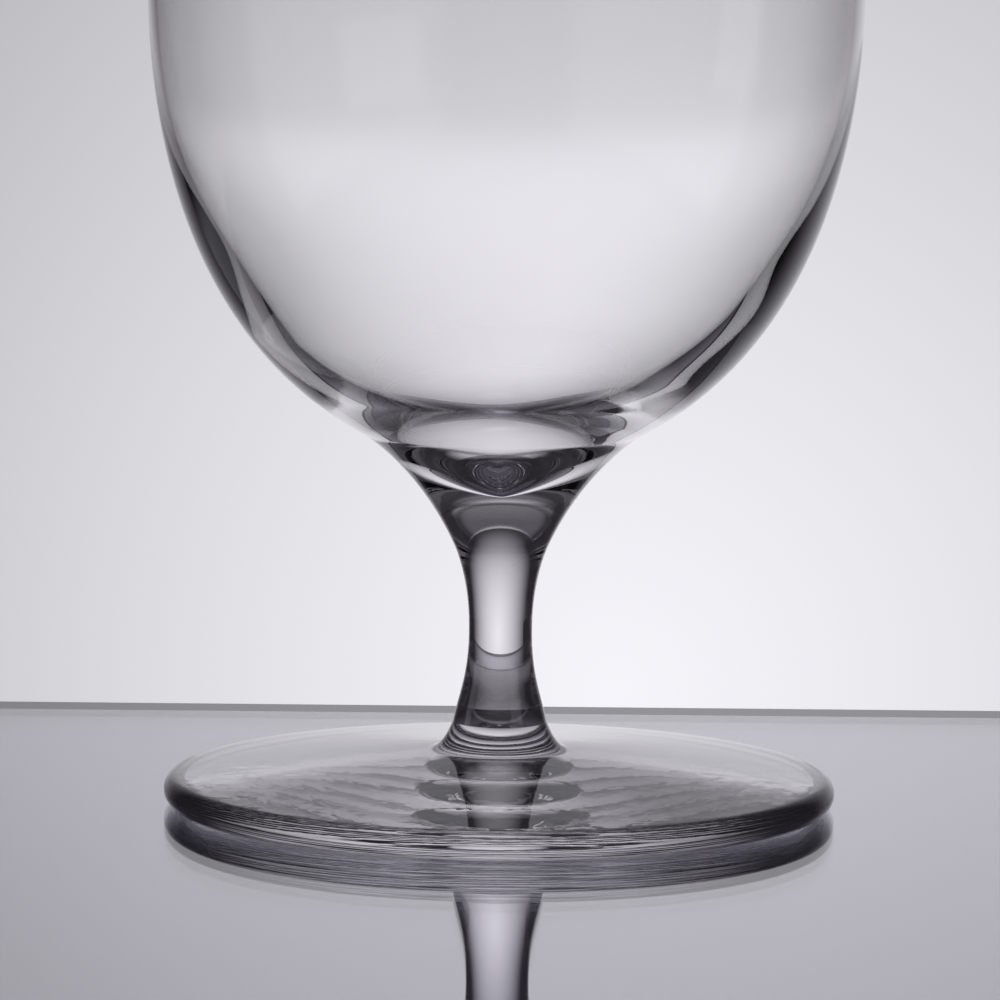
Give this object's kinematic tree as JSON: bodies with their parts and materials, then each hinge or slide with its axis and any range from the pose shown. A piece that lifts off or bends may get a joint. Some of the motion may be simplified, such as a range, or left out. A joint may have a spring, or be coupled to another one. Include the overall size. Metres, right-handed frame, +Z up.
{
  "type": "water goblet",
  "caption": "Clear glass water goblet with a round bowl, a short waisted stem and a thick flat foot with a half-round edge.",
  "frame": {"origin": "centre of the ring on which the foot rests, on the table top", "axes": "+Z up along the axis of the goblet, from the foot to the rim; the goblet is round, so X and Y are free"},
  "size_m": [0.0802, 0.0802, 0.156],
  "materials": {
    "bowl_glass": "clear, fire-polished",
    "stem_glass": "clear, fire-polished",
    "foot_glass": "clear, pressed and fire-polished"
  },
  "bodies": {
    "root": {"bowl": "bowl_glass", "stem": "stem_glass", "foot": "foot_glass"}
  },
  "joints": []
}
